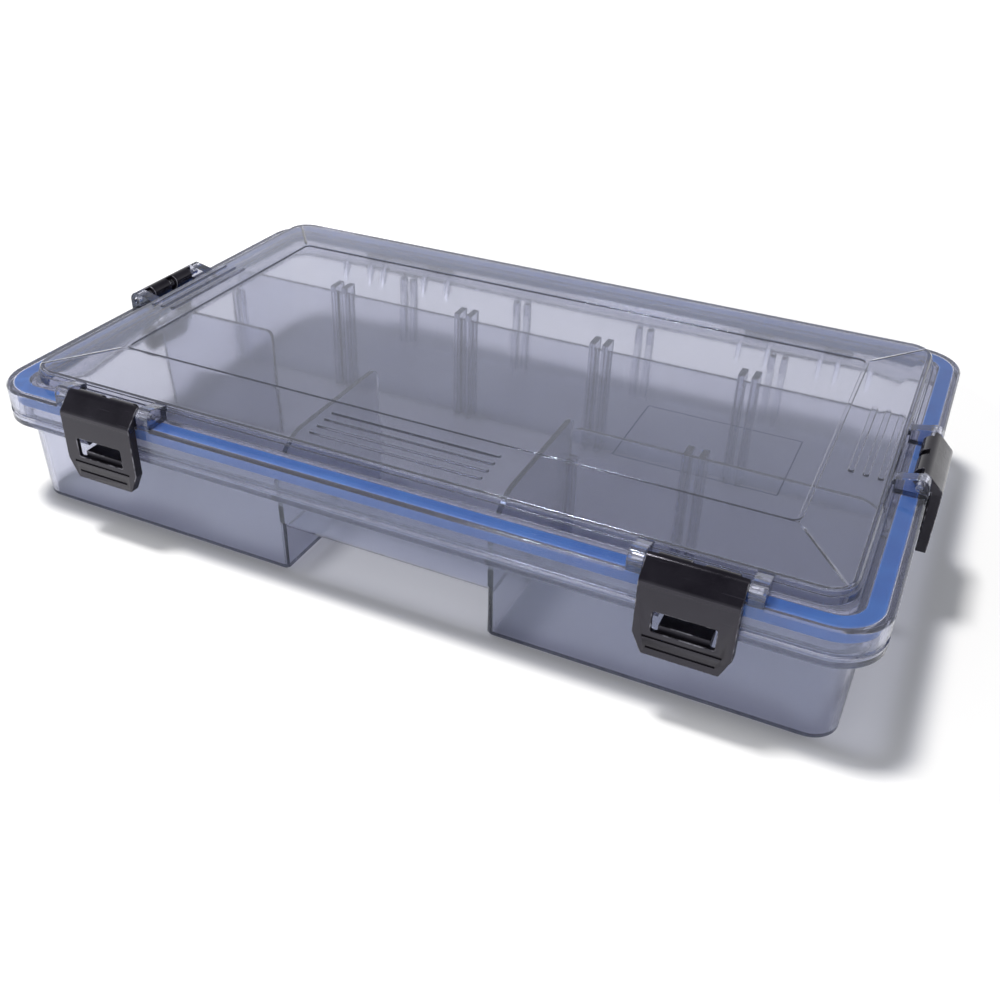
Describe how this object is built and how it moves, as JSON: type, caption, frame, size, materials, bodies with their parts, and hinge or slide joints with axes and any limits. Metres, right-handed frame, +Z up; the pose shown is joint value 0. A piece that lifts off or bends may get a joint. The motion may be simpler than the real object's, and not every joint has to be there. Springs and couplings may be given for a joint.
{
  "type": "tackle box",
  "caption": "Flat clear compartment box with a gasketed hinged lid, snap-over latches on the front and both ends, divided inside for fishing tackle.",
  "frame": {"origin": "on the underside, below the middle of the rim's outline", "axes": "+X along the long side to the right, +Y towards the hinges, +Z up"},
  "size_m": [0.3548, 0.2264, 0.06],
  "materials": {
    "smoke": "clear smoke-tinted moulding",
    "blue_rubber": "satin",
    "black": "satin to gloss",
    "steel": "plain"
  },
  "bodies": {
    "tub": {"base_tub": "smoke", "rear_long_divider": "smoke", "right_front_divider": "smoke", "hinge_pin_left": "steel", "hinge_pin_right": "steel"},
    "lid": {"lid": "smoke", "gasket": "blue_rubber", "latch_pin_front_left": "steel", "latch_pin_front_right": "steel", "latch_pin_left": "steel", "latch_pin_right": "steel"},
    "latch_front_left": {"latch_front_left": "black"},
    "latch_front_right": {"latch_front_right": "black"},
    "latch_left": {"latch_left": "black"},
    "latch_right": {"latch_right": "black"}
  },
  "joints": [
    {"name": "lid_hinge", "type": "hinge", "parent": "tub", "child": "lid", "pos_m": [0, 0.1114, 0.042], "axis": [-1, 0, 0], "range_deg": [0, 180]},
    {"name": "latch_front_left_pivot", "type": "hinge", "parent": "lid", "child": "latch_front_left", "pos_m": [-0.1147, -0.104, 0.0565], "axis": [-1, 0, 0], "range_deg": [0, 115]},
    {"name": "latch_front_right_pivot", "type": "hinge", "parent": "lid", "child": "latch_front_right", "pos_m": [0.1147, -0.104, 0.0565], "axis": [-1, 0, 0], "range_deg": [0, 115]},
    {"name": "latch_left_pivot", "type": "hinge", "parent": "lid", "child": "latch_left", "pos_m": [-0.1696, 0, 0.0565], "axis": [0, 1, 0], "range_deg": [0, 115]},
    {"name": "latch_right_pivot", "type": "hinge", "parent": "lid", "child": "latch_right", "pos_m": [0.1696, 0, 0.0565], "axis": [0, -1, 0], "range_deg": [0, 115]}
  ]
}
